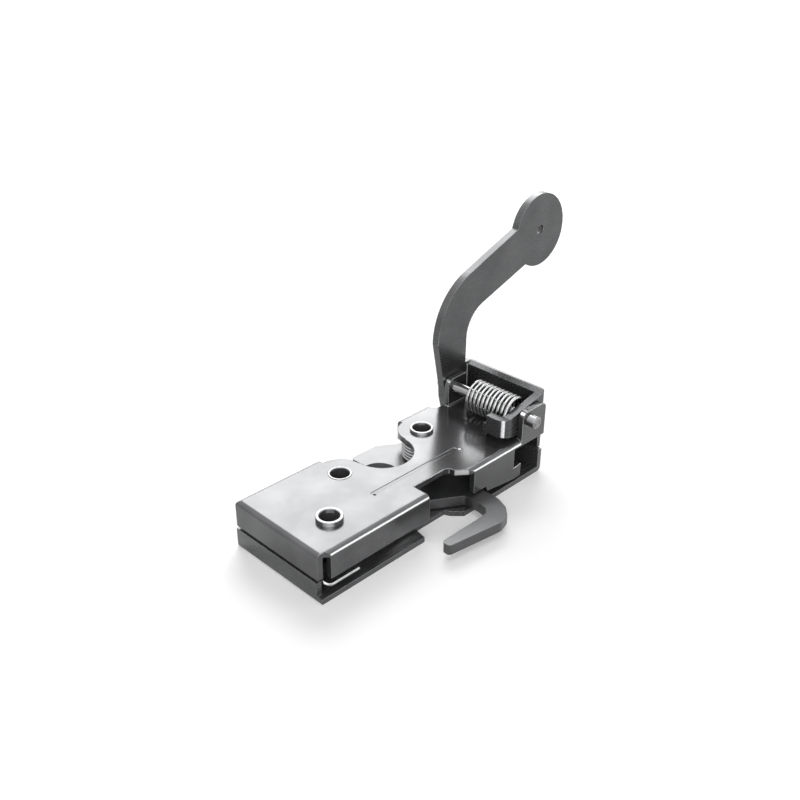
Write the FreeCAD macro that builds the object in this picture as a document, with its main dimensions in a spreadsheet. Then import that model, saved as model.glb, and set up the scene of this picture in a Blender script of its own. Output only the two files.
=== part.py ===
import FreeCAD, Part
import math
import os

import Sketcher

# Rotary claw latch with a bracket-mounted release lever, all lengths in millimetres
# Frame: +Z up, +Y toward the mouth, +X toward the lever end
# Origin: axis of the trigger bushing at the mounting face of the bottom plate

doc = FreeCAD.newDocument("rotary_latch")
sheet = doc.addObject("Spreadsheet::Sheet", "Sheet")

VALUES = [
    # Housing as a whole
    ("housing_left", -15.2, "outer face of the left end"),
    ("housing_right", 94.1, "outer face of the right end flange"),
    ("near_edge", -12.9, "outer face of the near side"),
    ("far_edge", 29.5, "outer face of the far side"),
    ("housing_height", 18.0, "top of the cover over the mounting face"),
    ("cover_sheet", 2.2, "sheet of the top cover"),
    ("plate_sheet", 2.0, "sheet of the bottom plate"),
    ("bend_outside", 1.8, "outer radius of a bend"),
    ("bend_inside", 0.4, "inner radius of a bend"),
    ("fit_gap", 0.3, "gap between pieces of different bodies"),
    ("running_gap", 0.05, "radial clearance of a running fit"),
    # Bushing centres
    ("spacer_x", 20.2, "spacer bushing centre"),
    ("spacer_y", 17.5, "spacer bushing centre"),
    ("claw_x", 61.4, "claw bushing centre"),
    ("claw_y", 18.2, "claw bushing centre"),
    # Bushings
    ("bore_radius", 3.35, "through bore for an M6 screw"),
    ("bore_chamfer", 0.25, "chamfer at the top of the bore"),
    ("neck_wall", 0.5, "wall of a bushing inside a plate hole"),
    ("shoulder_wall", 1.45, "wall of a bushing between the plates"),
    ("seat_width", 3.85, "from the bore to the rim of the flange a moving plate rides on"),
    ("seat_height", 0.45, "thickness of that flange"),
    ("trigger_collar_wall", 1.2, "wall of the raised collar of the trigger bushing"),
    ("trigger_collar_height", 1.6, "height of that collar over the cover"),
    ("claw_collar_wall", 1.0, "wall of the raised collar of the claw bushing"),
    ("claw_collar_height", 1.1, "height of that collar over the cover"),
    # Mouth for the striker
    ("mouth_x", 40.8, "centre of the mouth"),
    ("mouth_y", 17.7, "centre of the mouth"),
    ("mouth_radius", 11.3, "radius of the closed end of the mouth"),
    ("spacer_lobe", 9.0, "rounded lobe of sheet about the spacer bushing"),
    ("claw_lobe", 8.9, "rounded lobe of sheet about the claw bushing"),
    ("mouth_right", 60.2, "right side of the mouth at the far edge"),
    # Flanges of the cover
    ("left_flange_low", 8.0, "bottom of the left end flange"),
    ("near_flange_low", 7.6, "bottom of the near flange, left section"),
    ("far_flange_low", 9.9, "bottom of the far flanges"),
    ("near_flange_start", -10.9, "left end of the near flange"),
    ("left_flange_near", -11.4, "near end of the left flange"),
    ("window_left", 33.0, "left side of the hook window"),
    ("window_right", 55.7, "right side of the hook window"),
    ("window_depth", 7.0, "depth of the hook window from the near side"),
    ("window_step_x", 47.3, "where the window's slanted right side starts"),
    ("window_step_depth", 3.9, "depth at the knee of that side"),
    ("near_flange_end", 77.6, "right end of the near flange"),
    ("far_flange_end", 75.3, "right end of the far flange"),
    ("neck_arch_low", 7.2, "flange bottom over the neck of the trigger"),
    ("neck_arch_end", 62.2, "right end of the arch over the neck"),
    ("flange_step_low", 5.0, "flange bottom beside the neck"),
    ("tongue_low", 3.2, "lowest point of the near flange"),
    ("tongue_end", 81.8, "right end of the tongue"),
    ("tongue_high", 8.4, "top of the tongue"),
    ("tongue_round", 1.2, "rounded lower corner of the tongue"),
    # Right end of the cover
    ("cover_right", 93.6, "right end of the top sheet"),
    ("cutback_x", 76.6, "where the far side is cut back for the arm"),
    ("cutback_slope", 1.4, "slant of that cut"),
    # Ears that carry the lever pin
    ("pin_x", 84.7, "lever pin axis"),
    ("pin_z", 7.7, "lever pin axis, over the cover"),
    ("ear_round", 3.25, "rounded corner of an ear, about the pin"),
    ("ear_rise", 3.6, "top of an ear over the pin axis"),
    ("ear_corner", 2.4, "rounded right corner of the near ear"),
    ("near_ear_right", 94.6, "right end of the near ear"),
    ("far_ear_face", 23.2, "inner face of the far ear"),
    ("far_ear_right", 91.5, "right end of the far ear"),
    ("ear_bend", 0.8, "inner bend radius at the foot of an ear"),
    # Pressed details of the cover
    ("groove_left", 19.3, "left end of the pressed line"),
    ("groove_right", 60.6, "right end of the pressed line"),
    ("groove_y", 0.75, "pressed line"),
    ("groove_width", 1.4, "pressed line"),
    ("groove_depth", 0.15, "pressed line"),
    ("dimple_x", 61.2, "pressed dimple"),
    ("dimple_y", -0.8, "pressed dimple"),
    ("dimple_radius", 0.7, "pressed dimple"),
    # Bottom plate
    ("plate_left", -15.5, "outer face of the left end flange"),
    ("plate_near", -13.3, "near edge left of the recess"),
    ("plate_flange_near", -11.0, "near end of the left end flange"),
    ("plate_bend", 0.5, "outer radius of the left bend"),
    ("left_rise", 7.1, "top of the left end flange"),
    ("right_rise", 9.4, "top of the right end flange"),
    ("recess_left", 30.3, "recess of the near edge"),
    ("recess_right", 46.5, "recess of the near edge, full depth"),
    ("recess_end", 51.0, "recess of the near edge, right end"),
    ("recess_depth", 5.6, "recess of the near edge"),
    # Claw
    ("claw_floor", 2.5, "underside of claw and trigger"),
    ("claw_thick", 3.9, "thickness of claw and trigger"),
    ("striker_x", 42.2, "centre of the notch for the striker"),
    ("striker_y", 21.0, "centre of the notch for the striker"),
    ("notch_radius", 7.0, "notch of the claw"),
    ("finger_top", 35.4, "outer edge of the finger"),
    ("finger_shoulder_x", 54.2, "right end of that edge"),
    ("finger_root_x", 60.6, "root of the finger"),
    ("finger_root_y", 31.0, "root of the finger"),
    ("claw_back_x", 70.4, "back of the claw"),
    ("claw_back_y", 24.5, "upper corner of the back"),
    ("claw_back_low", 12.0, "lower corner of the back"),
    ("tooth_left", 54.2, "face of the tooth that the trigger holds"),
    ("tooth_right", 60.8, "back of the tooth"),
    ("tooth_low", 5.0, "tip of the tooth"),
    ("tooth_round", 1.5, "rounded corner of tooth and catch"),
    ("jaw_low", 8.3, "lower edge of the inner jaw"),
    ("jaw_tip_x", 34.4, "tip of the inner jaw"),
    # Trigger
    ("hub_radius", 7.3, "round end of the trigger"),
    ("bar_near", -4.1, "near edge of the bar"),
    ("bar_far", 4.6, "far edge of the bar"),
    ("bar_break_x", 42.8, "where the bar turns outward"),
    ("neck_left", 53.4, "left side of the neck"),
    ("neck_right", 60.6, "right side of the neck"),
    ("neck_turn_y", -10.6, "outer corner of the neck's left side"),
    ("hook_inner", -23.0, "inner edge of the hook finger"),
    ("hook_tip_x", 28.2, "tip of the hook finger"),
    ("hook_tip_y", -26.4, "outer edge of the finger at the tip"),
    ("hook_outer", -29.8, "outermost edge of the hook"),
    ("hook_heel_x", 50.5, "where the finger is widest"),
    ("catch_right", 55.45, "face of the catch"),
    ("catch_top", 5.5, "top of the catch"),
    ("catch_left", 50.0, "left end of the catch"),
    ("rail_far", 3.9, "far edge of the bar beside the tooth"),
    ("tail_far", -1.6, "far edge of the tail"),
    ("tail_near", -4.6, "near edge of the tail"),
    ("tail_start", 66.0, "where the tail is down to its width"),
    ("tail_end", 85.6, "right end of the tail"),
    ("horn_foot_x", 78.3, "foot of the slanted cam edge"),
    ("horn_top_x", 83.7, "top of the slanted cam edge"),
    ("horn_top_y", 4.8, "top of the slanted cam edge"),
    # Lever
    ("lever_sheet", 3.0, "sheet of the lever"),
    ("back_gap", 0.6, "back wall to the end flange at rest"),
    ("lip_left", 73.5, "front face of the lip"),
    ("lip_far", -2.2, "far edge of the lip"),
    ("lip_low", 2.6, "bottom of the lip, over the cover"),
    ("lip_high", 9.5, "top of the lip, over the cover"),
    ("slope_start", 77.0, "where the side wall's top edge starts to rise"),
    ("side_slope", 0.2, "rise of the side wall's top edge per length"),
    ("lip_bend", 4.2, "outer radius of the lip's bend and of the arm's"),
    ("back_bend", 2.0, "outer radius of the bend between side and back wall"),
    ("wall_high", 14.0, "top of the back wall, over the cover"),
    ("wall_low", 8.4, "bottom of the back wall"),
    ("side_low", 0.8, "bottom of the side wall behind the pin, over the cover"),
    ("side_low_left", 1.4, "bottom of the side wall beside the lip, over the cover"),
    ("tab_back", 1.5, "how far the tab stands back from the lip's front face"),
    ("tab_near", -1.25, "near edge of the tab"),
    ("tab_far", 0.4, "far edge of the tab"),
    ("tab_high", 5.0, "top of the tab behind the lip, over the cover"),
    ("tab_low", 4.4, "bottom of the tab that moves the trigger"),
    ("arm_low", -3.2, "bottom of the arm, over the cover"),
    ("arm_foot_x", 83.2, "lower left corner of the arm"),
    ("arm_pin_left", 81.4, "left edge of the arm at the pin"),
    ("arm_left", 77.7, "left edge of the arm at the bend"),
    ("arm_left_z", 26.0, "start of the outer bend, over the cover"),
    ("arm_inner_x", 93.6, "right edge of the arm at the bend"),
    ("arm_outer_z", 43.9, "outer corner of the bend, over the cover"),
    ("arm_inner_z", 33.4, "inner corner of the bend, over the cover"),
    ("arm_outer_round", 26.0, "outer radius of the bend"),
    ("arm_inner_round", 13.0, "inner radius of the bend"),
    ("arm_slope", 0.385, "rise of the upper edge per length"),
    ("arm_slope_low", 0.347, "rise of the lower edge per length"),
    ("disc_x", 135.6, "centre of the end disc"),
    ("disc_z", 57.4, "centre of the end disc, over the cover"),
    ("disc_radius", 14.6, "end disc"),
    ("disc_hole", 2.0, "radius of the hole in the disc"),
    # Lever pin
    ("pin_radius", 2.1, "pin between the ears"),
    ("pin_end_radius", 2.35, "thicker end in the near ear"),
    ("pin_end_out", 4.1, "how far the near end stands out"),
    ("pin_chamfer", 0.5, "chamfer of the near end"),
    ("pin_head_radius", 3.1, "formed head beyond the arm"),
    ("pin_head", 0.9, "thickness of the head"),
    # Springs
    ("wire", 1.25, "wire of all three springs"),
    ("lever_coil", 5.8, "mean radius of the lever spring"),
    ("lever_coil_near", -6.4, "near end of that coil"),
    ("lever_coil_far", 12.9, "far end of that coil"),
    ("lever_turns", 10.633, "turns of that coil"),
    ("lever_coil_start", -78, "where the far end leaves the coil, in degrees"),
    ("foot_x", 77.8, "foot of its leg on the cover"),
    ("foot_y", 10.8, "foot of its leg on the cover"),
    ("flat_coil", 6.75, "mean radius of claw and trigger springs"),
    ("flat_pitch", 1.32, "rise per turn of those springs"),
    ("claw_turns", 5.336, "turns of the claw spring"),
    ("claw_coil_start", 220.8, "where its lower leg meets the coil, in degrees"),
    ("trigger_turns", 5.293, "turns of the trigger spring"),
    ("trigger_coil_start", 145.5, "where its fixed leg meets the coil, in degrees"),
    ("leg_z", 4.9, "height of the trigger spring's fixed leg"),
    ("leg_y", -12.3, "line of that leg below the near flange"),
    ("leg_end_x", 0.9, "cut end of that leg"),
]

row = 1
for alias, number, note in VALUES:
    sheet.set("A" + str(row), note)
    sheet.set("B" + str(row), str(number))
    sheet.setAlias("B" + str(row), alias)
    row += 1
doc.recompute()


class Size:
    """A sheet value, or a sum or product of some, as an expression and as a number."""

    def __init__(self, text, number):
        self.text = text
        self.number = number

    def joined(self, other, sign, number):
        other_text = other.text if isinstance(other, Size) else repr(float(other))
        return Size("(" + self.text + " " + sign + " " + other_text + ")", number)

    def __add__(self, other):
        return self.joined(other, "+", self.number + amount(other))

    def __sub__(self, other):
        return self.joined(other, "-", self.number - amount(other))

    def __mul__(self, other):
        return self.joined(other, "*", self.number * amount(other))

    def __truediv__(self, other):
        return self.joined(other, "/", self.number / amount(other))

    def __neg__(self):
        return Size("(0 - " + self.text + ")", -self.number)


def amount(value):
    """The number of a Size or of a plain number."""
    return value.number if isinstance(value, Size) else float(value)


def size(alias):
    """The sheet value of that name."""
    return Size("Sheet." + alias, float(sheet.get(alias)))


def over_cover(alias):
    """A height that is measured from the top of the cover."""
    return size("housing_height") + size(alias)


def bind(thing, prop, value):
    """Drive a property by a Size."""
    thing.setExpression(prop, value.text)


def new_body(label):
    """An empty body whose label is the node name."""
    made = doc.addObject("PartDesign::Body", label)
    made.Label = label
    return made


def origin_plane(body, role):
    """The body's own origin plane of that role."""
    for feature in body.Origin.OriginFeatures:
        if feature.Role == role:
            return feature
    raise ValueError(role)


def draw(body, name, role, level, points=(), circles=()):
    """A sketch on an origin plane, moved along its normal by level, its points driven by the sheet."""
    made = body.newObject("Sketcher::SketchObject", name)
    made.AttachmentSupport = [(origin_plane(body, role), "")]
    made.MapMode = "FlatFace"
    if isinstance(level, Size):
        bind(made, "AttachmentOffset.Base.z", level)
    count = len(points)
    for index in range(count):
        first = points[index]
        second = points[(index + 1) % count]
        start = FreeCAD.Vector(amount(first[0]), amount(first[1]), 0)
        end = FreeCAD.Vector(amount(second[0]), amount(second[1]), 0)
        made.addGeometry(Part.LineSegment(start, end), False)
    for index in range(count):
        made.addConstraint(Sketcher.Constraint("Coincident", index, 2, (index + 1) % count, 1))
    for index in range(count):
        place(made, index, 1, points[index])
    for centre, radius in circles:
        middle = FreeCAD.Vector(amount(centre[0]), amount(centre[1]), 0)
        added = made.addGeometry(Part.Circle(middle, FreeCAD.Vector(0, 0, 1), amount(radius)), False)
        place(made, added, 3, centre)
        spot = made.addConstraint(Sketcher.Constraint("Radius", added, amount(radius)))
        if isinstance(radius, Size):
            bind(made, "Constraints[" + str(spot) + "]", radius)
    return made


def place(sketch, element, end, point):
    """Fix one point of a sketch by its two distances from the origin."""
    for kind, value in (("DistanceX", point[0]), ("DistanceY", point[1])):
        spot = sketch.addConstraint(Sketcher.Constraint(kind, -1, 1, element, end, amount(value)))
        if isinstance(value, Size):
            bind(sketch, "Constraints[" + str(spot) + "]", value)


def pad(body, sketch, length):
    """Add material along the sketch's normal."""
    made = body.newObject("PartDesign::Pad", sketch.Name + "_pad")
    made.Profile = sketch
    made.Length = amount(length)
    bind(made, "Length", length)
    sketch.Visibility = False
    doc.recompute()
    return made


def pocket(body, sketch, length):
    """Take material away against the sketch's normal, and fail where nothing was cut."""
    before = body.Tip.Shape.Volume
    made = body.newObject("PartDesign::Pocket", sketch.Name + "_cut")
    made.Profile = sketch
    made.Length = amount(length)
    bind(made, "Length", length)
    sketch.Visibility = False
    doc.recompute()
    if not made.Shape.Volume < before:
        raise RuntimeError(sketch.Name + " cuts nothing")
    return made


def edges_at(shape, spots):
    """Names of the edges that pass nearest to the given points."""
    names = []
    for spot in spots:
        vertex = Part.Vertex(FreeCAD.Vector(*[amount(value) for value in spot]))
        nearest = None
        for index, edge in enumerate(shape.Edges):
            distance = edge.distToShape(vertex)[0]
            if nearest is None or distance < nearest[0]:
                nearest = (distance, "Edge" + str(index + 1))
        if nearest[0] > amount(size("running_gap")):
            raise RuntimeError("no edge at " + str([amount(value) for value in spot]))
        names.append(nearest[1])
    return names


def fillet(body, name, spots, radius, kind="PartDesign::Fillet"):
    """Round or chamfer the edges that pass through the given points."""
    base = body.Tip
    made = body.newObject(kind, name)
    made.Base = (base, edges_at(base.Shape, spots))
    prop = "Radius" if kind == "PartDesign::Fillet" else "Size"
    setattr(made, prop, amount(radius))
    bind(made, prop, radius)
    doc.recompute()
    if not made.Shape.isValid():
        raise RuntimeError(name + " is not valid")
    return made


ZERO = size("fit_gap") - size("fit_gap")
ONE = size("fit_gap") / size("fit_gap")
LEFT = size("housing_left")
RIGHT = size("housing_right")
NEAR = size("near_edge")
FAR = size("far_edge")
TOP = size("housing_height")
SHEET = size("cover_sheet")
PLATE = size("plate_sheet")
CLEAR = size("fit_gap")
SPACER = (size("spacer_x"), size("spacer_y"))
CLAW = (size("claw_x"), size("claw_y"))
TRIGGER = (ZERO, ZERO)
MOUTH = (size("mouth_x"), size("mouth_y"))
NECK = size("bore_radius") + size("neck_wall")
SHOULDER = size("bore_radius") + size("shoulder_wall")
SEAT = size("bore_radius") + size("seat_width")
PIN = (size("pin_x"), over_cover("pin_z"))
FLOOR = size("claw_floor")
THICK = size("claw_thick")
LSHEET = size("lever_sheet")


def rectangle(x_low, x_high, y_low, y_high):
    """Corners of a rectangle, counterclockwise."""
    return [(x_low, y_low), (x_high, y_low), (x_high, y_high), (x_low, y_high)]


def open_mouth(body, name, level, depth):
    """Cut the striker's mouth through a sheet and leave the lobes about both bushings."""
    straight = rectangle(SPACER[0], size("mouth_right"), MOUTH[1], FAR + ONE)
    pocket(body, draw(body, name + "_mouth", "XY_Plane", level, straight), depth)
    round_end = [(MOUTH, size("mouth_radius"))]
    pocket(body, draw(body, name + "_mouth_end", "XY_Plane", level, (), round_end), depth)
    sheet_low = level - depth
    for tag, centre, lobe in (("spacer", SPACER, "spacer_lobe"), ("claw", CLAW, "claw_lobe")):
        disc = draw(body, name + "_" + tag + "_lobe", "XY_Plane", sheet_low, (), [(centre, size(lobe))])
        pad(body, disc, depth)
    holes = [(TRIGGER, NECK), (SPACER, NECK), (CLAW, NECK)]
    pocket(body, draw(body, name + "_neck_holes", "XY_Plane", level, (), holes), depth)


# Top cover: one bent sheet with two ears
cover = new_body("top_cover")
cover_bottom = size("tongue_low")
block = draw(cover, "cover_block", "XY_Plane", cover_bottom, rectangle(LEFT, size("cover_right"), NEAR, FAR))
pad(cover, block, TOP - cover_bottom)
middle_x = (LEFT + size("cover_right")) / 2
middle_y = (NEAR + FAR) / 2
fillet(cover, "cover_bends", [(middle_x, NEAR, TOP), (middle_x, FAR, TOP), (LEFT, middle_y, TOP)],
       size("bend_outside"))
inside = rectangle(LEFT + SHEET, size("cover_right") + ONE, NEAR + SHEET, FAR - SHEET)
pocket(cover, draw(cover, "cover_inside", "XY_Plane", TOP - SHEET, inside), TOP - SHEET)

# The near side: everything below and between the two flange sections goes
near_side = [
    (LEFT - ONE, cover_bottom - ONE),
    (size("cover_right") + ONE, cover_bottom - ONE),
    (size("cover_right") + ONE, TOP - SHEET),
    (size("near_flange_end"), TOP - SHEET),
    (size("near_flange_end"), size("tongue_high") - ONE / 2),
    (size("tongue_end"), size("tongue_high")),
    (size("tongue_end"), cover_bottom),
    (size("near_flange_end") - ONE, cover_bottom),
    (size("neck_arch_end") + ONE, size("flange_step_low")),
    (size("neck_arch_end"), size("neck_arch_low")),
    (size("window_right"), size("neck_arch_low")),
    (size("window_right"), TOP - SHEET),
    (size("window_left"), TOP - SHEET),
    (size("window_left"), size("near_flange_low")),
    (size("near_flange_start"), size("near_flange_low")),
    (size("near_flange_start"), TOP - SHEET),
    (LEFT + SHEET, TOP - SHEET),
    (LEFT + SHEET, size("left_flange_low")),
    (LEFT - ONE, size("left_flange_low")),
]
pocket(cover, draw(cover, "cover_near_side", "XZ_Plane", ONE - NEAR, near_side), SHEET + ONE)

# The left end flange, with its rounded lower corner
left_side = rectangle(NEAR - ONE, FAR + ONE, cover_bottom - ONE, size("left_flange_low"))
pocket(cover, draw(cover, "cover_left_side", "YZ_Plane", LEFT + SHEET, left_side), SHEET + ONE)

# The relief between the bends of the left and near flanges
relief = [
    (LEFT - ONE, NEAR - ONE),
    (size("near_flange_start"), NEAR - ONE),
    (size("near_flange_start"), NEAR),
    (LEFT + size("bend_outside") * 1.5, size("left_flange_near")),
    (LEFT - ONE, size("left_flange_near")),
]
pocket(cover, draw(cover, "corner_relief", "XY_Plane", TOP, relief), TOP)

# The far side: two flange sections, one each side of the mouth
far_side = [
    (LEFT - ONE, cover_bottom - ONE),
    (size("cover_right") + ONE, cover_bottom - ONE),
    (size("cover_right") + ONE, TOP - SHEET),
    (size("far_flange_end"), TOP - SHEET),
    (size("far_flange_end"), size("far_flange_low")),
    (size("mouth_right"), size("far_flange_low")),
    (size("mouth_right"), TOP - SHEET),
    (SPACER[0], TOP - SHEET),
    (SPACER[0], size("far_flange_low")),
    (LEFT + SHEET + CLEAR, size("far_flange_low")),
    (LEFT + SHEET + CLEAR, size("left_flange_low")),
    (LEFT - ONE, size("left_flange_low")),
]
pocket(cover, draw(cover, "cover_far_side", "XZ_Plane", SHEET - FAR, far_side), SHEET + ONE)

# The near window for the hook, and the cut back where the arm passes
window = [
    (size("window_left"), NEAR - ONE),
    (size("window_right"), NEAR - ONE),
    (size("window_right"), NEAR),
    (size("window_right") - SHEET, NEAR + ONE * 0.7),
    (size("window_step_x") + SHEET, NEAR + size("window_step_depth")),
    (size("window_step_x") + ONE * 1.8, NEAR + size("window_depth") - ONE),
    (size("window_step_x"), NEAR + size("window_depth")),
    (size("window_left") - ONE * 0.7, NEAR + size("window_depth")),
    (size("window_left") - ONE * 0.7, NEAR + SHEET),
]
pocket(cover, draw(cover, "cover_window", "XY_Plane", TOP, window), SHEET)
ear_back = size("far_ear_face") + SHEET
cutback = [
    (size("far_flange_end"), FAR + ONE),
    (size("far_flange_end"), FAR),
    (size("cutback_x") - CLEAR, ear_back + size("cutback_slope")),
    (size("cutback_x"), ear_back),
    (size("cover_right") + ONE, ear_back),
    (size("cover_right") + ONE, FAR + ONE),
]
pocket(cover, draw(cover, "cover_cutback", "XY_Plane", TOP, cutback), SHEET)
open_mouth(cover, "cover", TOP, SHEET)

# The ears stand up from both sides and carry the pin
ear_top = PIN[1] + size("ear_rise")
ear_left = PIN[0] - size("ear_round")
ear_foot = TOP - SHEET
near_ear = rectangle(ear_left, size("near_ear_right"), ear_foot, ear_top)
pad(cover, draw(cover, "near_ear", "XZ_Plane", -(NEAR + SHEET), near_ear), SHEET)
far_ear = rectangle(ear_left, size("far_ear_right"), ear_foot, ear_top)
pad(cover, draw(cover, "far_ear", "XZ_Plane", -ear_back, far_ear), SHEET)
near_middle = NEAR + SHEET / 2
far_middle = ear_back - SHEET / 2
fillet(cover, "ear_corners", [(ear_left, near_middle, ear_top), (ear_left, far_middle, ear_top)],
       size("ear_round") - CLEAR / 10)
fillet(cover, "near_ear_corner", [(size("near_ear_right"), near_middle, ear_top)], size("ear_corner"))
ear_x = PIN[0] + size("ear_round")
fillet(cover, "ear_feet", [(ear_x, NEAR + SHEET, TOP), (ear_x, size("far_ear_face"), TOP)],
       size("ear_bend"))
pocket(cover, draw(cover, "near_pin_hole", "XZ_Plane", ONE - NEAR, (), [(PIN, size("pin_end_radius"))]),
       SHEET + ONE)
pocket(cover, draw(cover, "far_pin_hole", "XZ_Plane", -size("far_ear_face"), (), [(PIN, size("pin_radius"))]),
       SHEET)

# Slot for the lever's tab, long enough for its swing
tab_left = size("lip_left") + size("tab_back")
tab_slot = rectangle(tab_left - CLEAR, tab_left + LSHEET + CLEAR * 9,
                     size("tab_near") - CLEAR, size("tab_far") + CLEAR)
pocket(cover, draw(cover, "tab_slot", "XY_Plane", TOP, tab_slot), SHEET)

# The pressed line and dimple
groove_half = size("groove_width") / 2
groove = rectangle(size("groove_left"), size("groove_right"),
                   size("groove_y") - groove_half, size("groove_y") + groove_half)
pocket(cover, draw(cover, "pressed_line", "XY_Plane", TOP, groove), size("groove_depth"))
groove_end = rectangle(size("groove_left"), size("groove_left") + groove_half,
                       size("groove_y") - size("groove_width"), size("groove_y") - groove_half / 2)
pocket(cover, draw(cover, "pressed_end", "XY_Plane", TOP, groove_end), size("groove_depth") * 4)
dimple = [((size("dimple_x"), size("dimple_y")), size("dimple_radius"))]
pocket(cover, draw(cover, "pressed_dimple", "XY_Plane", TOP, (), dimple), size("groove_depth") * 4)

# Bottom plate: floor with upturned ends
plate = new_body("bottom_plate")
plate_left = size("plate_left")
plate_near = size("plate_near")
channel = [
    (plate_left, ZERO),
    (RIGHT, ZERO),
    (RIGHT, size("right_rise")),
    (RIGHT - PLATE, size("right_rise")),
    (RIGHT - PLATE, PLATE),
    (plate_left + PLATE, PLATE),
    (plate_left + PLATE, size("left_rise")),
    (plate_left, size("left_rise")),
]
plate_y = (plate_near + FAR) / 2
pad(plate, draw(plate, "plate_channel", "XZ_Plane", -FAR, channel), FAR - plate_near)
fillet(plate, "plate_right_bend", [(RIGHT, plate_y, ZERO)], size("bend_outside"))
fillet(plate, "plate_left_bend", [(plate_left, plate_y, ZERO)], size("plate_bend"))
fillet(plate, "plate_inner_bends", [(plate_left + PLATE, plate_y, PLATE), (RIGHT - PLATE, plate_y, PLATE)],
       size("bend_inside"))
plate_end = rectangle(plate_left - ONE, plate_left + PLATE + size("bend_inside"),
                      plate_near - ONE, size("plate_flange_near"))
pocket(plate, draw(plate, "plate_end", "XY_Plane", size("left_rise"), plate_end), size("left_rise") - PLATE)
recess = [
    (size("recess_left"), plate_near - ONE),
    (RIGHT + ONE, plate_near - ONE),
    (RIGHT + ONE, NEAR),
    (size("recess_end"), NEAR),
    (size("recess_right") + ONE, NEAR + size("recess_depth") - ONE * 2),
    (size("recess_right"), NEAR + size("recess_depth")),
    (size("recess_left") + ONE * 1.2, NEAR + size("recess_depth")),
    (size("recess_left"), NEAR),
]
pocket(plate, draw(plate, "plate_recess", "XY_Plane", size("right_rise"), recess), size("right_rise"))
open_mouth(plate, "plate", PLATE, PLATE)


def bushing(label, centre, seat, collar_radius, collar_height):
    """A turned bushing: neck in each plate, shoulder between, optional seat and collar."""
    made = new_body(label)
    under = TOP - SHEET
    over = TOP + collar_height
    bore = size("bore_radius")
    chamfer = size("bore_chamfer")
    half = [
        (bore, ZERO),
        (NECK, ZERO),
        (NECK, PLATE),
        (seat, PLATE),
        (seat, PLATE + size("seat_height")),
        (SHOULDER, PLATE + size("seat_height")),
        (SHOULDER, under),
        (NECK, under),
        (NECK, TOP),
        (collar_radius, TOP),
        (collar_radius, over - chamfer / 2),
        (collar_radius - chamfer / 2, over),
        (bore + chamfer, over),
        (bore, over - chamfer),
    ]
    profile = draw(made, label + "_profile", "XZ_Plane", None, half)
    turned = made.newObject("PartDesign::Revolution", label + "_turned")
    turned.Profile = profile
    turned.ReferenceAxis = (profile, ["V_Axis"])
    turned.Angle = 360
    profile.Visibility = False
    bind(made, "Placement.Base.x", centre[0])
    bind(made, "Placement.Base.y", centre[1])
    doc.recompute()
    return made


bushings = [
    bushing("trigger_bushing", TRIGGER, SEAT, size("bore_radius") + size("trigger_collar_wall"),
            size("trigger_collar_height")),
    bushing("spacer_bushing", SPACER, SHOULDER + CLEAR, NECK + CLEAR, CLEAR * 0.7),
    bushing("claw_bushing", CLAW, SEAT, size("bore_radius") + size("claw_collar_wall"),
            size("claw_collar_height")),
]

# Claw: flat plate with a finger, a jaw and the tooth that the trigger holds
claw = new_body("claw")
STRIKER = (size("striker_x"), size("striker_y"))
NOTCH = size("notch_radius")
claw_outline = [
    (STRIKER[0] - ONE / 3, STRIKER[1]),
    (STRIKER[0] - ONE / 3, size("finger_top")),
    (size("finger_shoulder_x"), size("finger_top")),
    (size("finger_root_x"), size("finger_root_y")),
    (size("claw_back_x") - ONE * 3, size("finger_root_y") - ONE * 2),
    (size("claw_back_x"), size("claw_back_y")),
    (size("claw_back_x"), size("claw_back_low")),
    (size("tooth_right") + ONE * 3, size("jaw_low")),
    (size("tooth_right"), size("tooth_low")),
    (size("tooth_left"), size("tooth_low")),
    (size("tooth_left"), size("jaw_low")),
    (size("jaw_tip_x") + ONE, size("jaw_low")),
    (size("jaw_tip_x"), size("jaw_low") + ONE),
    (size("jaw_tip_x") + ONE / 2, STRIKER[1] - NOTCH),
    (STRIKER[0] - ONE / 3, STRIKER[1] - NOTCH),
]
pad(claw, draw(claw, "claw_outline", "XY_Plane", FLOOR, claw_outline), THICK)
claw_level = FLOOR + THICK
pocket(claw, draw(claw, "claw_notch", "XY_Plane", claw_level, (), [(STRIKER, NOTCH)]), THICK)
claw_bore = [(CLAW, SHOULDER + size("running_gap"))]
pocket(claw, draw(claw, "claw_bore", "XY_Plane", claw_level, (), claw_bore), THICK)
claw_mid = FLOOR + THICK / 2
fillet(claw, "claw_tooth_corner", [(size("tooth_left"), size("tooth_low"), claw_mid)], size("tooth_round"))
fillet(claw, "claw_tip_corner", [(STRIKER[0] - ONE / 3, size("finger_top"), claw_mid)], ONE)
fillet(claw, "claw_corners", [
    (size("finger_shoulder_x"), size("finger_top"), claw_mid),
    (size("finger_root_x"), size("finger_root_y"), claw_mid),
    (size("claw_back_x") - ONE * 3, size("finger_root_y") - ONE * 2, claw_mid),
    (size("claw_back_x"), size("claw_back_y"), claw_mid),
    (size("claw_back_x"), size("claw_back_low"), claw_mid),
    (size("tooth_right"), size("tooth_low"), claw_mid),
], ONE * 2)

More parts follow.
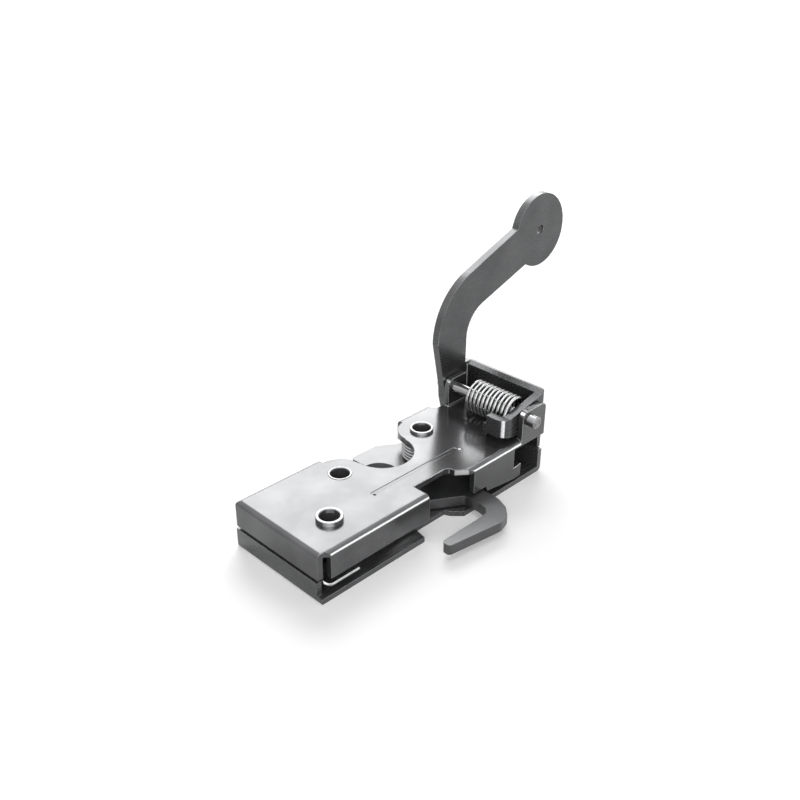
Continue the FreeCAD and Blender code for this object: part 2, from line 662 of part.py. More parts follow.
# Trigger: flat bar with catch, cam tail and the hook outside the window
trigger = new_body("trigger")
HUB = size("hub_radius")
trigger_outline = [
    (ZERO, -HUB),
    (HUB, -HUB),
    (HUB * 2, size("bar_near")),
    (size("bar_break_x"), size("bar_near")),
    (size("neck_left"), size("neck_turn_y")),
    (size("neck_left") + CLEAR, size("hook_inner") + ONE * 6),
    (size("neck_left") - CLEAR, size("hook_inner") + ONE * 2.6),
    (size("neck_left") - ONE * 2.4, size("hook_inner") + ONE / 2),
    (size("neck_left") - ONE * 5, size("hook_inner")),
    (size("hook_tip_x"), size("hook_inner")),
    (size("hook_tip_x"), size("hook_tip_y")),
    (size("hook_heel_x"), size("hook_outer")),
    (size("neck_right") - ONE * 5.4, size("hook_outer") + ONE * 1.3),
    (size("neck_right") - ONE * 2.2, size("hook_outer") + ONE * 4.6),
    (size("neck_right"), size("hook_outer") + ONE * 10),
    (size("neck_right"), size("tail_near") - ONE * 3.5),
    (size("neck_right") + ONE * 3, size("tail_near")),
    (size("tail_end") - ONE, size("tail_near")),
    (size("tail_end"), size("tail_near") + ONE),
    (size("tail_end"), size("horn_top_y")),
    (size("horn_top_x"), size("horn_top_y")),
    (size("horn_foot_x"), size("tail_far")),
    (size("tail_start"), size("tail_far")),
    (size("neck_right") + ONE, size("rail_far")),
    (size("catch_right"), size("rail_far")),
    (size("catch_right"), size("catch_top")),
    (size("catch_left"), size("catch_top")),
    (size("catch_left") - ONE * 4, size("bar_far")),
    (HUB * 2, size("bar_far")),
    (HUB, HUB),
    (ZERO, HUB),
]
pad(trigger, draw(trigger, "trigger_outline", "XY_Plane", FLOOR, trigger_outline), THICK)
pad(trigger, draw(trigger, "trigger_hub", "XY_Plane", FLOOR, (), [(TRIGGER, HUB)]), THICK)
trigger_bore = [(TRIGGER, SHOULDER + size("running_gap"))]
pocket(trigger, draw(trigger, "trigger_bore", "XY_Plane", claw_level, (), trigger_bore), THICK)
fillet(trigger, "catch_corner", [(size("catch_right"), size("catch_top"), claw_mid)], size("tooth_round"))
fillet(trigger, "hook_tip_corners", [
    (size("hook_tip_x"), size("hook_inner"), claw_mid),
    (size("hook_tip_x"), size("hook_tip_y"), claw_mid),
], ONE * 1.3)
fillet(trigger, "hook_outer_corners", [
    (size("hook_heel_x"), size("hook_outer"), claw_mid),
    (size("neck_right"), size("hook_outer") + ONE * 10, claw_mid),
], ONE * 5)
fillet(trigger, "neck_corner", [(size("neck_left"), size("neck_turn_y"), claw_mid)], ONE * 1.5)

# Lever: one bent sheet with arm, back wall, side wall, lip and tab
lever = new_body("lever")
side_out = NEAR + SHEET + CLEAR
side_in = side_out + LSHEET
arm_in = ear_back + CLEAR
arm_out = arm_in + LSHEET
back_in = RIGHT + size("back_gap")
back_out = back_in + LSHEET
lip_in = size("lip_left") + LSHEET
bend_x = back_out - size("lip_bend")
band = [
    (size("lip_left"), size("lip_far")),
    (size("lip_left"), side_out),
    (back_out, side_out),
    (back_out, arm_out),
    (bend_x - ONE * 3, arm_out),
    (bend_x - ONE * 3, arm_in),
    (back_in, arm_in),
    (back_in, side_in),
    (lip_in, side_in),
    (lip_in, size("lip_far")),
]
band_high = over_cover("wall_high") - size("wall_low")
pad(lever, draw(lever, "lever_band", "XY_Plane", size("wall_low"), band), band_high)
band_mid = size("wall_low") + band_high / 2
fillet(lever, "lever_outer_bends", [
    (size("lip_left"), side_out, band_mid),
    (back_out, arm_out, band_mid),
], size("lip_bend"))
fillet(lever, "lever_inner_bends", [
    (lip_in, side_in, band_mid),
    (back_in, arm_in, band_mid),
], ONE)
fillet(lever, "lever_back_bend", [(back_out, side_out, band_mid)], size("back_bend"))
fillet(lever, "lever_back_inner_bend", [(back_in, side_in, band_mid)], ONE / 2)
below = [
    (size("lip_left") - ONE, size("wall_low") - ONE),
    (back_in, size("wall_low") - ONE),
    (back_in, over_cover("side_low")),
    (PIN[0] + ONE * 2, over_cover("side_low")),
    (size("slope_start") + ONE * 2.5, over_cover("side_low_left")),
    (size("lip_left") + ONE, over_cover("lip_low") - ONE / 5),
    (size("lip_left") - ONE, over_cover("lip_low")),
]
near_start = ONE - side_out
near_depth = size("lip_far") - side_out + ONE * 2
pocket(lever, draw(lever, "below_side_wall", "XZ_Plane", near_start, below), near_depth)
side_high = over_cover("lip_high") + (back_in - size("slope_start")) * size("side_slope")
above = [
    (size("lip_left") - ONE, over_cover("lip_high")),
    (size("slope_start"), over_cover("lip_high")),
    (back_in, side_high),
    (back_in + LSHEET * 0.7, over_cover("wall_high")),
    (back_in + LSHEET * 0.7, over_cover("wall_high") + ONE),
    (size("lip_left") - ONE, over_cover("wall_high") + ONE),
]
pocket(lever, draw(lever, "above_side_wall", "XZ_Plane", near_start, above), arm_in - side_out + ONE)
under_arm = rectangle(bend_x - ONE * 4, back_in, size("wall_low") - ONE, over_cover("arm_low"))
pocket(lever, draw(lever, "below_arm", "XZ_Plane", ONE - arm_in, under_arm), LSHEET + ONE * 2)
tab_bridge = over_cover("tab_high") - ONE * 2.2
tab = [
    (size("tab_near"), size("tab_low")),
    (size("tab_far"), size("tab_low")),
    (size("tab_far"), over_cover("tab_high")),
    (size("lip_far") - ONE * 1.5, over_cover("tab_high")),
    (size("lip_far") - ONE * 1.5, tab_bridge),
    (size("tab_near"), tab_bridge),
]
pad(lever, draw(lever, "tab", "YZ_Plane", tab_left, tab), LSHEET)
upper_run = size("disc_x") - ONE * 10
lower_run = size("disc_x") - ONE * 5
arm = [
    (size("arm_foot_x"), over_cover("arm_low")),
    (bend_x, over_cover("arm_low")),
    (bend_x, over_cover("wall_high")),
    (size("arm_inner_x"), over_cover("arm_inner_z")),
    (lower_run, over_cover("arm_inner_z") + (lower_run - size("arm_inner_x")) * size("arm_slope_low")),
    (upper_run, over_cover("arm_outer_z") + (upper_run - size("arm_left")) * size("arm_slope")),
    (size("arm_left"), over_cover("arm_outer_z")),
    (size("arm_left"), over_cover("arm_left_z")),
    (size("arm_pin_left"), PIN[1]),
    (size("arm_pin_left") + CLEAR, PIN[1] - ONE * 5),
]
pad(lever, draw(lever, "arm", "XZ_Plane", -arm_out, arm), LSHEET)
disc = [((size("disc_x"), over_cover("disc_z")), size("disc_radius"))]
pad(lever, draw(lever, "disc", "XZ_Plane", -arm_out, (), disc), LSHEET)
arm_middle = arm_in + LSHEET / 2
fillet(lever, "arm_outer_bend", [(size("arm_left"), arm_middle, over_cover("arm_outer_z"))],
       size("arm_outer_round"))
fillet(lever, "arm_inner_bend", [(size("arm_inner_x"), arm_middle, over_cover("arm_inner_z"))],
       size("arm_inner_round"))
pin_bore = [(PIN, size("pin_radius") + size("running_gap"))]
pocket(lever, draw(lever, "side_bore", "XZ_Plane", -(side_out - ONE), (), pin_bore), LSHEET + ONE * 2)
pocket(lever, draw(lever, "arm_bore", "XZ_Plane", -(arm_in - CLEAR / 2), (), pin_bore), LSHEET + ONE)
disc_hole = [((size("disc_x"), over_cover("disc_z")), size("disc_hole"))]
pocket(lever, draw(lever, "disc_hole", "XZ_Plane", -(arm_in - ONE), (), disc_hole), LSHEET + ONE * 2)

# Lever pin: stepped pin with a chamfered near end and a formed far head
pin = new_body("lever_pin")
shaft_near = side_out - CLEAR / 2
head_face = arm_out + size("running_gap") * 2
near_end = NEAR - size("pin_end_out")
half_pin = [
    (ZERO, near_end),
    (size("pin_end_radius") - size("pin_chamfer"), near_end),
    (size("pin_end_radius"), near_end + size("pin_chamfer")),
    (size("pin_end_radius"), shaft_near),
    (size("pin_radius"), shaft_near),
    (size("pin_radius"), head_face),
    (size("pin_head_radius"), head_face),
    (size("pin_head_radius") - size("pin_head") / 2, head_face + size("pin_head")),
    (ZERO, head_face + size("pin_head")),
]
pin_profile = draw(pin, "pin_profile", "XY_Plane", None, half_pin)
pin_turned = pin.newObject("PartDesign::Revolution", "pin_turned")
pin_turned.Profile = pin_profile
pin_turned.ReferenceAxis = (pin_profile, ["V_Axis"])
pin_turned.Angle = 360
pin_profile.Visibility = False
bind(pin, "Placement.Base.x", PIN[0])
bind(pin, "Placement.Base.z", PIN[1])
doc.recompute()


STEPS_PER_TURN = 12


def coil_curve(middle, radius, start_angle, turns, rise, sense, lying=False):
    """A coil from start_angle on, counterclockwise for sense 1; lying turns its axis to -Y."""
    count = int(round(turns * STEPS_PER_TURN))
    points = []
    for index in range(count + 1):
        share = index / count
        angle = math.radians(start_angle) + sense * 2 * math.pi * turns * share
        across = radius * math.cos(angle)
        up = radius * math.sin(angle)
        along = rise * share
        offset = FreeCAD.Vector(across, -along, up) if lying else FreeCAD.Vector(across, up, along)
        points.append(middle + offset)
    curve = Part.BSplineCurve()
    curve.interpolate(points)
    return curve


def coil_ends(curve):
    """Both end points of a coil, each with the direction in which the wire goes on."""
    first = curve.FirstParameter
    last = curve.LastParameter
    return curve.value(first), -curve.tangent(first)[0], curve.value(last), curve.tangent(last)[0]


def swept(edges, curled):
    """A round wire along edges that run smoothly into each other; curled for a coil."""
    path = Part.Wire(edges)
    start = edges[0].valueAt(edges[0].FirstParameter)
    along = edges[0].tangentAt(edges[0].FirstParameter)
    ring = Part.Wire([Part.makeCircle(amount(size("wire")) / 2, start, along)])
    return path.makePipeShell([ring], True, curled)


def leg(corners, radius):
    """A straight wire through the corners, bent to a radius at the inner ones."""
    edges = []
    start = corners[0]
    for before, corner, after in zip(corners, corners[1:], corners[2:]):
        back = (before - corner).normalize()
        ahead = (after - corner).normalize()
        half = back.getAngle(ahead) / 2
        reach = radius / math.tan(half)
        middle = corner + (back + ahead).normalize() * (radius / math.sin(half))
        top = middle + (corner - middle).normalize() * radius
        arc = Part.Arc(corner + back * reach, top, corner + ahead * reach)
        edges.append(Part.makeLine(start, corner + back * reach))
        edges.append(arc.toShape())
        start = corner + ahead * reach
    edges.append(Part.makeLine(start, corners[-1]))
    return swept(edges, False)


def wire_spring(label, curve, legs):
    """A spring from its coil and its legs, as one solid."""
    joined = swept([curve.toShape()], True).fuse(legs)
    if len(joined.Solids) != 1:
        raise RuntimeError(label + " is not one solid")
    made = doc.addObject("Part::Feature", label)
    made.Label = label
    made.Shape = joined.Solids[0]
    return made


# Numbers that the three springs share
wire = amount(size("wire"))
bend = wire * 1.2
clear = amount(CLEAR)
beside = clear + wire / 2
flat_radius = amount(size("flat_coil"))
flat_pitch = amount(size("flat_pitch"))
coil_floor = amount(claw_level) + beside + clear
leg_low = amount(FLOOR) + amount(THICK) / 2

# Claw spring: its lower leg stands behind the tooth, its upper leg rests on the far flange
claw_turns = amount(size("claw_turns"))
claw_coil = coil_curve(FreeCAD.Vector(amount(CLAW[0]), amount(CLAW[1]), coil_floor), flat_radius,
                       amount(size("claw_coil_start")), claw_turns, claw_turns * flat_pitch, -1)
start, back, end, ahead = coil_ends(claw_coil)
elbow = start + back * (flat_radius * 1.54)
lower_leg = leg([start, elbow, FreeCAD.Vector(elbow.x, elbow.y, leg_low)], bend)
flange_y = amount(FAR) - amount(SHEET) - wire / 2 - clear / 3
upper_leg = leg([end, end + ahead * ((flange_y - end.y) / ahead.y)], bend)
wire_spring("claw_spring", claw_coil, [lower_leg, upper_leg])

# Trigger spring: fixed leg in the near left corner, upper leg across the bar to its near edge
trigger_turns = amount(size("trigger_turns"))
trigger_coil = coil_curve(FreeCAD.Vector(0, 0, coil_floor), flat_radius, amount(size("trigger_coil_start")),
                          trigger_turns, trigger_turns * flat_pitch, -1)
start, back, end, ahead = coil_ends(trigger_coil)
leg_y = amount(size("leg_y"))
leg_z = amount(size("leg_z"))
corner_x = amount(LEFT) + amount(SHEET) + wire / 2 + clear / 3
fixed_leg = leg([
    start,
    start + back * ((corner_x - start.x) / back.x),
    FreeCAD.Vector(corner_x, leg_y, leg_z),
    FreeCAD.Vector(amount(size("leg_end_x")), leg_y, leg_z),
], bend * 1.6)
bar_side = amount(size("bar_near")) - beside - clear * 5
elbow = end + ahead * ((bar_side - end.y) / ahead.y)
upper_leg = leg([end, elbow, FreeCAD.Vector(elbow.x, elbow.y, leg_low)], bend)
wire_spring("trigger_spring", trigger_coil, [fixed_leg, upper_leg])

# Lever spring: coil about the pin, one leg down to the cover, the other end behind the lip
lever_radius = amount(size("lever_coil"))
coil_far = amount(size("lever_coil_far"))
coil_run = coil_far - amount(size("lever_coil_near"))
lever_coil = coil_curve(FreeCAD.Vector(amount(PIN[0]), coil_far, amount(PIN[1])), lever_radius,
                        amount(size("lever_coil_start")), amount(size("lever_turns")), coil_run, 1, True)
start, back, end, ahead = coil_ends(lever_coil)
knee = start + back * (lever_radius * 0.75)
foot = FreeCAD.Vector(amount(size("foot_x")), amount(size("foot_y")), amount(TOP) + wire / 2 + clear / 2)
foot_leg = leg([start, knee, foot], bend)
tail = leg([end, end + ahead * (wire * 2)], bend)
wire_spring("lever_spring", lever_coil, [foot_leg, tail])

doc.recompute()

NODES = ["top_cover", "bottom_plate", "trigger_bushing", "spacer_bushing", "claw_bushing", "claw",
         "trigger", "claw_spring", "trigger_spring", "lever", "lever_pin", "lever_spring"]
os.makedirs("parts", exist_ok=True)
for thing in doc.Objects:
    if "Invalid" in thing.State or "Error" in thing.State:
        raise RuntimeError(thing.Name + " has state " + str(thing.State))
for label in NODES:
    found = doc.getObjectsByLabel(label)[0]
    shape = found.Shape
    if shape.isNull() or not shape.isValid():
        raise RuntimeError(label + " has no valid shape")
    shape.exportStep("parts/" + label + ".step")
    print(label, "solids", len(shape.Solids), "volume", round(shape.Volume, 1))
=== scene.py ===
"""Looks of a rotary door latch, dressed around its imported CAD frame, in metres."""

import logging
import math
from dataclasses import dataclass
from enum import Enum

import bpy
from mathutils import Matrix, Vector


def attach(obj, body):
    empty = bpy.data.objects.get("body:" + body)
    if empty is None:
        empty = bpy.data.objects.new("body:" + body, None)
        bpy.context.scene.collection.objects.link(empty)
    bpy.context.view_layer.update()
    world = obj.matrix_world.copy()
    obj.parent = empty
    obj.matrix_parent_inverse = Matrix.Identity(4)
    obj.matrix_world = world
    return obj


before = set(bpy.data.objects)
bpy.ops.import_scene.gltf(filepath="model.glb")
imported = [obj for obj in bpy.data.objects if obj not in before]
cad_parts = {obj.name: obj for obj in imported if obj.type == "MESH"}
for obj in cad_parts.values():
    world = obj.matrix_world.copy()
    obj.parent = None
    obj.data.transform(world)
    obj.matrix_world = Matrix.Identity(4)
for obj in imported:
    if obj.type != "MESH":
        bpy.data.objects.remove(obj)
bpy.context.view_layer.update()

LOG = logging.getLogger("door_latch")
MM = 0.001

Socket = bpy.types.NodeSocket
Tree = bpy.types.NodeTree
Triple = tuple[float, float, float]
Band = tuple[float, float]

WHITE = (1.0, 1.0, 1.0, 1.0)
NOISE_ROUGHNESS = 0.55
CLOUD_DETAIL = 3.0
MARK_DETAIL = 4.0
SPECKLE_DETAIL = 2.0
SPECKLE_SIZE = 0.6
SPECKLE_LEAST = 0.35
CLOUD_BAND = (0.35, 0.68)
MARK_BAND = (0.3, 0.7)
SPECKLE_BAND = (0.35, 0.6)
RIM_BAND = (0.9, 0.995)
BEVEL_SAMPLES = 6


class Grain(Enum):
    """How a metal surface was worked, as the stretch of its marks along X, Y and Z."""

    ROLLED = (0.06, 1.0, 1.0)
    TURNED = (1.0, 1.0, 0.05)
    DRAWN = (1.0, 1.0, 1.0)
    ACROSS = (1.0, 0.06, 1.0)


class Nodes:
    """A short way to add and join the nodes of one material or of the world."""

    def __init__(self, tree: Tree) -> None:
        """Starts on an empty tree.

        Args:
            tree: The node tree of the material or the world.
        """
        self.tree = tree
        self.tree.nodes.clear()

    def add(self, kind: str, settings: dict[str, object] | None = None,
            **inputs: object) -> bpy.types.Node:
        """Adds a node, sets its properties and fills or joins its inputs.

        Args:
            kind: The node's type name without the leading ShaderNode.
            settings: Properties of the node itself.
            inputs: Values or sockets by input name, with spaces as underscores.

        Returns:
            The new node.
        """
        node = self.tree.nodes.new("ShaderNode" + kind)
        for name, value in (settings or {}).items():
            setattr(node, name, value)
        for name, value in inputs.items():
            target = node.inputs[name.replace("_", " ")]
            if isinstance(value, bpy.types.NodeSocket):
                self.tree.links.new(value, target)
            else:
                target.default_value = value
        return node

    def noise(self, place: Socket, size: float, detail: float,
              stretch: Triple = (1.0, 1.0, 1.0)) -> Socket:
        """Adds a noise whose lumps have about a given size.

        Args:
            place: Coordinates in metres.
            size: Size of a lump in metres.
            detail: Octaves of finer noise.
            stretch: Factor on each axis; below 1 draws the marks out along it.

        Returns:
            The noise's value, around one half.
        """
        scale = tuple(part / size for part in stretch)
        spread = self.add("Mapping", None, Vector=place, Scale=scale)
        return self.add("TexNoise", None, Vector=spread.outputs[0], Scale=1.0, Detail=detail,
                        Roughness=NOISE_ROUGHNESS).outputs[0]

    def remap(self, value: Socket, band: Band, to_low: float, to_high: float) -> Socket:
        """Maps a range of values onto another one, held at its ends.

        Args:
            value: The incoming value.
            band: Start and end of the incoming range.
            to_low: Result at the start.
            to_high: Result at the end.

        Returns:
            The mapped value.
        """
        node = self.add("MapRange")
        self.tree.links.new(value, node.inputs["Value"])
        limits = {"From Min": band[0], "From Max": band[1], "To Min": to_low, "To Max": to_high}
        for name, number in limits.items():
            node.inputs[name].default_value = number
        return node.outputs[0]

    def join(self, operation: str, first: Socket | float, second: Socket | float) -> Socket:
        """Joins two values by one arithmetic step.

        Args:
            operation: Name of the step, such as ADD or MULTIPLY.
            first: First value.
            second: Second value.

        Returns:
            The result.
        """
        node = self.add("Math", {"operation": operation})
        for slot, value in enumerate((first, second)):
            if isinstance(value, bpy.types.NodeSocket):
                self.tree.links.new(value, node.inputs[slot])
            else:
                node.inputs[slot].default_value = value
        return node.outputs[0]

    def blend(self, factor: Socket, first: Socket | Triple, second: Socket | Triple) -> Socket:
        """Blends two colours.

        Args:
            factor: Share of the second colour.
            first: Colour at zero.
            second: Colour at one.

        Returns:
            The blended colour.
        """
        node = self.add("Mix", {"data_type": "RGBA"})
        self.tree.links.new(factor, node.inputs[0])
        for slot, value in ((6, first), (7, second)):
            if isinstance(value, bpy.types.NodeSocket):
                self.tree.links.new(value, node.inputs[slot])
            else:
                node.inputs[slot].default_value = (*value, 1.0)
        return node.outputs[2]


class PaintedHighlight(Enum):
    """Painted highlight lines along the bends and edges that face one way: outward direction, and the X
    from which they show.
    """

    UPRIGHT = ((-0.707, -0.707, 0.0), -5.0 * MM)
    SHOULDER = ((0.0, -0.966, 0.259), -20.0 * MM)
    EAR_CORNER = ((-0.707, 0.0, 0.707), 60.0 * MM)


@dataclass(frozen=True)
class MetalFinish:
    """A worked metal surface: plating, rolled sheet, turned steel or drawn wire."""

    name: str
    dark: Triple
    light: Triple
    rough_low: float
    rough_high: float
    grain: Grain
    metallic: float = 1.0
    grain_size: float = 0.4 * MM
    cloud_size: float = 14 * MM
    grain_depth: float = 0.01 * MM
    edge: float = 0.22 * MM
    wear: Triple = (0.5, 0.5, 0.51)
    wear_share: float = 0.2
    # Painted highlight lines: the ways they face, their width, their pale tone and the height above which
    # they show.
    painted_highlights: tuple[PaintedHighlight, ...] = ()
    highlight_width: float = 0.018
    highlight_tone: Triple = (0.9, 0.9, 0.91)
    highlight_above: float = -1.0
    bump: float = 0.02
    streaks: float = 0.06
    sunk_level: float = 0.0
    # Dark tone of the painted shade on the floor of a pressed line.
    groove_shade_tone: Triple = (0.085, 0.086, 0.088)
    sunk_half: float = 0.06 * MM

    def groove_shade_mask(self, nodes: Nodes, place: Socket) -> Socket:
        """Marks the floor of a pressed line, where painted shade darkens the colour.

        Args:
            nodes: The material's nodes.
            place: Coordinates in metres.

        Returns:
            One on that floor, zero elsewhere.
        """
        height = nodes.add("SeparateXYZ", None, Vector=place).outputs["Z"]
        above = nodes.join("SUBTRACT", height, self.sunk_level)
        below = nodes.join("SUBTRACT", self.sunk_level, height)
        far = nodes.join("MAXIMUM", above, below)
        return nodes.remap(far, (self.sunk_half / 2, self.sunk_half), 1.0, 0.0)

    def painted_highlight_mask(self, nodes: Nodes, highlight: PaintedHighlight, outward: Socket, place: Socket) -> Socket:
        """Marks the painted highlight line along the bends and edges that face one way.

        Args:
            nodes: The material's nodes.
            highlight: The way the line faces.
            outward: The rounded outward direction, in the piece's own axes.
            place: Coordinates in metres.

        Returns:
            One on the line, zero beside it.
        """
        facing = nodes.add("VectorMath", {"operation": "DOT_PRODUCT"})
        nodes.tree.links.new(outward, facing.inputs[0])
        facing.inputs[1].default_value = highlight.value[0]
        band = (1.0 - self.highlight_width, 1.0 - self.highlight_width / 3)
        line = nodes.remap(facing.outputs["Value"], band, 0.0, 1.0)
        axes = nodes.add("SeparateXYZ", None, Vector=place).outputs
        along = nodes.join("GREATER_THAN", axes["X"], highlight.value[1])
        high_enough = nodes.join("GREATER_THAN", axes["Z"], self.highlight_above)
        return nodes.join("MULTIPLY", line, nodes.join("MULTIPLY", along, high_enough))

    def material(self) -> bpy.types.Material:
        """Builds the finish as a material.

        Returns:
            The finished material.
        """
        made = bpy.data.materials.new(self.name)
        made.use_nodes = True
        nodes = Nodes(made.node_tree)
        place = nodes.add("TexCoord").outputs["Object"]
        clouds = nodes.noise(place, self.cloud_size, CLOUD_DETAIL)
        marks = nodes.noise(place, self.grain_size, MARK_DETAIL, self.grain.value)
        speckle = nodes.noise(place, self.grain_size * SPECKLE_SIZE, SPECKLE_DETAIL)
        tone = nodes.blend(nodes.remap(clouds, CLOUD_BAND, 0.0, 1.0), self.dark, self.light)
        streak = nodes.blend(nodes.remap(marks, MARK_BAND, 0.0, self.streaks), tone, self.dark)
        rounded = nodes.add("Bevel", {"samples": BEVEL_SAMPLES}, Radius=self.edge)
        surface = nodes.add("NewGeometry")
        dot = nodes.add("VectorMath", {"operation": "DOT_PRODUCT"})
        nodes.tree.links.new(rounded.outputs[0], dot.inputs[0])
        nodes.tree.links.new(surface.outputs["Normal"], dot.inputs[1])
        rim = nodes.remap(dot.outputs["Value"], RIM_BAND, self.wear_share, 0.0)
        worn = nodes.join("MULTIPLY", rim, nodes.remap(speckle, SPECKLE_BAND, SPECKLE_LEAST, 1.0))
        colour = nodes.blend(worn, streak, self.wear)
        # Painted shade on the floor of the pressed line.
        if self.sunk_level:
            colour = nodes.blend(self.groove_shade_mask(nodes, place), colour, self.groove_shade_tone)
        turn = nodes.add("VectorTransform", {"vector_type": "NORMAL", "convert_from": "WORLD",
                                             "convert_to": "OBJECT"}, Vector=rounded.outputs[0])
        # Painted highlight: a pale line blended into the colour where the rounded surface faces each
        # listed way.
        for highlight in self.painted_highlights:
            line = self.painted_highlight_mask(nodes, highlight, turn.outputs[0], place)
            colour = nodes.blend(line, colour, self.highlight_tone)
        rough = nodes.remap(marks, MARK_BAND, self.rough_low, self.rough_high)
        bump = nodes.add("Bump", None, Strength=self.bump, Distance=self.grain_depth, Height=marks,
                         Normal=rounded.outputs[0])
        shader = nodes.add("BsdfPrincipled", None, Base_Color=colour, Roughness=rough,
                           Metallic=self.metallic, Normal=bump.outputs[0])
        output = nodes.add("OutputMaterial")
        nodes.tree.links.new(shader.outputs[0], output.inputs[0])
        return made


COVER_PLATING = MetalFinish("cover_plating", (0.084, 0.085, 0.087), (0.114, 0.115, 0.118),
                            0.19, 0.21, Grain.ROLLED, metallic=0.65, edge=0.5 * MM,
                            sunk_level=17.85 * MM,
                            painted_highlights=(PaintedHighlight.SHOULDER, PaintedHighlight.EAR_CORNER, PaintedHighlight.UPRIGHT))
PLATE_PLATING = MetalFinish("plate_plating", (0.085, 0.086, 0.088), (0.118, 0.119, 0.122),
                            0.26, 0.28, Grain.ROLLED, metallic=0.6)
LEVER_PLATING = MetalFinish("lever_plating", (0.066, 0.067, 0.069), (0.09, 0.091, 0.093),
                            0.26, 0.28, Grain.ROLLED, metallic=0.65, edge=0.3 * MM,
                            painted_highlights=(PaintedHighlight.UPRIGHT,))
CLAW_STEEL = MetalFinish("claw_steel", (0.11, 0.111, 0.113), (0.14, 0.141, 0.144),
                         0.3, 0.36, Grain.ACROSS, metallic=0.65)
TRIGGER_STEEL = MetalFinish("trigger_steel", (0.078, 0.079, 0.081), (0.102, 0.103, 0.106),
                            0.3, 0.36, Grain.ACROSS, metallic=0.65)
BUSHING_STEEL = MetalFinish("bushing_steel", (0.2, 0.201, 0.204), (0.26, 0.261, 0.264),
                            0.2, 0.28, Grain.TURNED, metallic=0.7, edge=0.15 * MM,
                            wear_share=0.1, painted_highlights=(PaintedHighlight.UPRIGHT,), highlight_width=0.12,
                            highlight_above=18.0 * MM)
PIN_STEEL = MetalFinish("pin_steel", (0.2, 0.2, 0.203), (0.28, 0.281, 0.284),
                        0.14, 0.22, Grain.ACROSS)
SPRING_WIRE = MetalFinish("spring_wire", (0.26, 0.261, 0.264), (0.36, 0.361, 0.364),
                          0.14, 0.2, Grain.DRAWN, edge=0.05 * MM, wear_share=0.0)

MADE: dict[str, bpy.types.Material] = {}


def finish_material(finish: MetalFinish) -> bpy.types.Material:
    """Builds each finish once.

    Args:
        finish: The finish that is wanted.

    Returns:
        Its material.
    """
    if finish.name not in MADE:
        MADE[finish.name] = finish.material()
    return MADE[finish.name]


def turned_piece(name: str, profile: list[tuple[float, float]], steps: int,
                 closed: bool) -> bpy.types.Object:
    """Turns a profile about the Z axis, as a lathe does.

    Args:
        name: The piece's name.
        profile: Radius and height of each point, in metres.
        steps: Facets of a full turn.
        closed: True where the profile's end joins its start.

    Returns:
        The new object, smooth shaded, at the origin.
    """
    points = []
    for radius, height in profile:
        for step in range(steps):
            angle = step * math.tau / steps
            points.append((radius * math.cos(angle), radius * math.sin(angle), height))
    rows = len(profile) if closed else len(profile) - 1
    faces = []
    for row in range(rows):
        above = (row + 1) % len(profile)
        for step in range(steps):
            beside = (step + 1) % steps
            low = row * steps
            high = above * steps
            faces.append((low + step, low + beside, high + beside, high + step))
    mesh = bpy.data.meshes.new(name)
    mesh.from_pydata(points, [], faces)
    for face in mesh.polygons:
        face.use_smooth = True
    piece = bpy.data.objects.new(name, mesh)
    bpy.context.scene.collection.objects.link(piece)
    return piece


@dataclass
class SubAssembly:
    """A group of CAD nodes that share what they are for."""

    title: str
    body: str

    def finishes(self) -> dict[str, MetalFinish]:
        """Returns the finish of each node of the group."""
        return {}

    def details(self) -> None:
        """Builds the group's small pieces, where it has any."""

    def dress(self) -> None:
        """Gives every node of the group its finish."""
        for node, finish in self.finishes().items():
            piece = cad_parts[node]
            piece.data.materials.clear()
            piece.data.materials.append(finish_material(finish))
            LOG.info("%s: %s in %s", self.title, node, finish.name)

    def fit(self, piece: bpy.types.Object, place: Matrix, finish: MetalFinish) -> None:
        """Puts a small piece in its place, dresses it and lets it ride on the group's body.

        Args:
            piece: The small piece.
            place: Where it sits.
            finish: Its finish.
        """
        piece.matrix_world = place
        piece.data.materials.append(finish_material(finish))
        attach(piece, self.body)
        LOG.info("%s: %s on %s", self.title, piece.name, self.body)

    def build(self) -> None:
        """Dresses the nodes and adds the small pieces."""
        self.dress()
        self.details()


@dataclass
class Housing(SubAssembly):
    """The bent sheets and the bushings between them."""

    title: str = "housing"
    body: str = "housing"
    cover_top: float = 18.0 * MM
    dimple_place: tuple[float, float] = (61.2 * MM, -0.8 * MM)
    dimple_radius: float = 0.68 * MM
    dimple_rise: float = 0.3 * MM
    dimple_rows: int = 6
    dimple_steps: int = 24

    def finishes(self) -> dict[str, MetalFinish]:
        """Returns the finish of each node of the housing."""
        return {
            "top_cover": COVER_PLATING,
            "bottom_plate": PLATE_PLATING,
            "trigger_bushing": BUSHING_STEEL,
            "spacer_bushing": BUSHING_STEEL,
            "claw_bushing": BUSHING_STEEL,
        }

    def details(self) -> None:
        """Sets the small dome in the middle of the pressed dimple."""
        profile = []
        for row in range(self.dimple_rows + 1):
            angle = math.pi / 2 * row / self.dimple_rows
            profile.append((self.dimple_radius * math.cos(angle), self.dimple_rise * math.sin(angle)))
        profile.insert(0, (self.dimple_radius, -self.dimple_rise))
        dome = turned_piece("dimple_dome", profile, self.dimple_steps, False)
        self.fit(dome, Matrix.Translation((*self.dimple_place, self.cover_top)), SPRING_WIRE)


@dataclass
class Mechanism(SubAssembly):
    """The flat moving plates and their springs."""

    title: str = "mechanism"
    body: str = "housing"

    def finishes(self) -> dict[str, MetalFinish]:
        """Returns the finish of each node of the mechanism."""
        return {
            "claw": CLAW_STEEL,
            "trigger": TRIGGER_STEEL,
            "claw_spring": SPRING_WIRE,
            "trigger_spring": SPRING_WIRE,
        }


